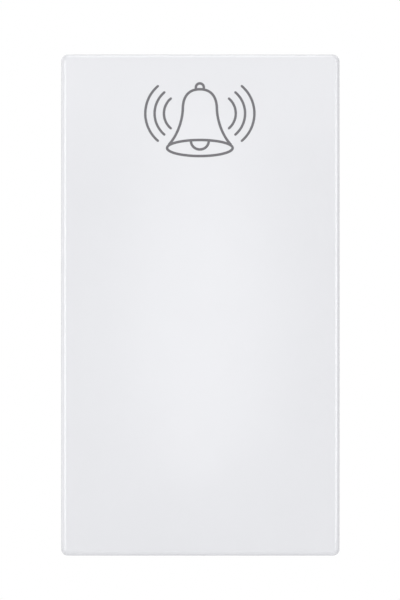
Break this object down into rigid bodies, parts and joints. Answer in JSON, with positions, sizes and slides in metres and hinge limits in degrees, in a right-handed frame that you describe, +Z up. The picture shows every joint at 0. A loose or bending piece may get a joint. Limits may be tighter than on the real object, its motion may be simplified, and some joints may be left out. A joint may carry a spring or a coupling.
{
  "type": "pushbutton switch",
  "caption": "Flush bell pushbutton whose white oblong key covers its whole front, hinged at the top over a plunger and contacts, with push-in terminals behind.",
  "frame": {"origin": "middle of the seat plane, at the back of the flange", "axes": "+X to the right seen from the room, +Y from the room into the wall, +Z up"},
  "size_m": [0.025, 0.0351, 0.045],
  "materials": {
    "key_plastic": "satin white",
    "frame_plastic": "fine matt white",
    "base_plastic": "fine matt light grey",
    "cover_plastic": "fine matt mid grey",
    "plunger_plastic": "smooth natural",
    "release_plastic": "matt orange",
    "brass": "plain rolled strip",
    "silver": "bright contact rivet",
    "spring_steel": "plain spring steel"
  },
  "bodies": {
    "housing": {"front_frame": "frame_plastic", "base": "base_plastic", "terminal_cover": "cover_plastic", "left_busbar": "brass", "right_busbar": "brass", "left_fixed_contact": "silver", "right_fixed_contact": "silver", "left_outer_clamp_spring": "spring_steel", "left_inner_clamp_spring": "spring_steel", "right_inner_clamp_spring": "spring_steel", "right_outer_clamp_spring": "spring_steel", "return_spring": "spring_steel"},
    "key": {"key": "key_plastic"},
    "plunger": {"plunger": "plunger_plastic", "contact_bridge": "brass", "left_moving_contact": "silver", "right_moving_contact": "silver", "contact_spring": "spring_steel"},
    "left_release": {"left_release_button": "release_plastic"},
    "right_release": {"right_release_button": "release_plastic"}
  },
  "joints": [
    {"name": "key_hinge", "type": "hinge", "parent": "housing", "child": "key", "pos_m": [0, -0.004, 0.0175], "axis": [1, 0, 0], "range_deg": [0, 3.2], "stiffness_Nm_per_rad": 0.6, "springref_deg": -5.16},
    {"name": "plunger_slide", "type": "slide", "parent": "housing", "child": "plunger", "axis": [0, 1, 0], "range_m": [0, 0.00154], "deforming": ["return_spring"]},
    {"name": "left_release_slide", "type": "slide", "parent": "housing", "child": "left_release", "axis": [0, -1, 0], "range_m": [0, 0.0015], "stiffness_N_per_m": 1500, "springref_m": -0.0005, "deforming": ["left_outer_clamp_spring", "left_inner_clamp_spring"]},
    {"name": "right_release_slide", "type": "slide", "parent": "housing", "child": "right_release", "axis": [0, -1, 0], "range_m": [0, 0.0015], "stiffness_N_per_m": 1500, "springref_m": -0.0005, "deforming": ["right_outer_clamp_spring", "right_inner_clamp_spring"]}
  ],
  "couplings": [
    {"joint": "plunger_slide", "follows": "key_hinge", "m_per_rad": 0.0275}
  ]
}
